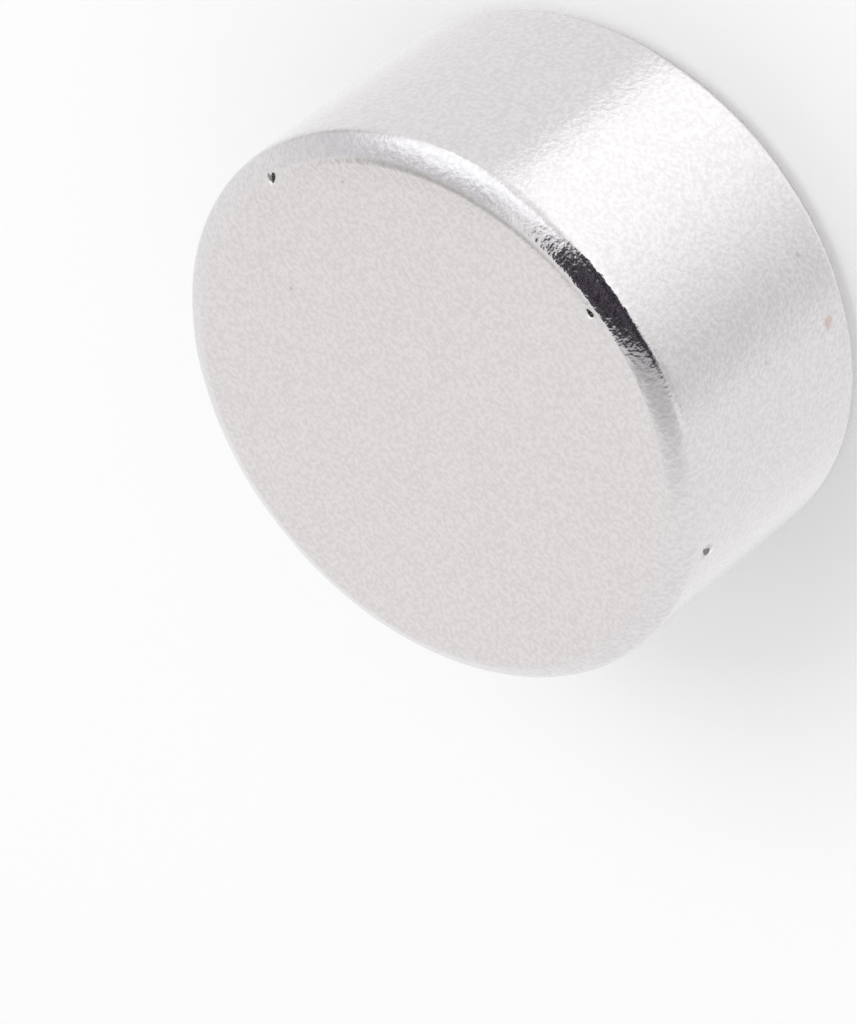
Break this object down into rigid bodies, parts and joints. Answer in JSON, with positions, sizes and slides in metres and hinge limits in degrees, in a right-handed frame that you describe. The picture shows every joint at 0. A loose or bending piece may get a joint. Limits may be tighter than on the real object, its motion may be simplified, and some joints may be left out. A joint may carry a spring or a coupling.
{
  "type": "disc magnet",
  "caption": "Solid disc magnet with two flat faces, rounded rims and a straight barrel, in satin nickel plate.",
  "frame": {"origin": "centre of the lower flat face", "axes": "+Z along the disc's axis, out of the upper flat face; X and Y are free on a round disc, and -Y is the side that faces the viewer"},
  "size_m": [0.015, 0.015, 0.0075],
  "materials": {
    "nickel_plate": "satin, barrel-tumbled nickel plate with a fine grain"
  },
  "bodies": {
    "root": {"magnet": "nickel_plate"}
  },
  "joints": []
}
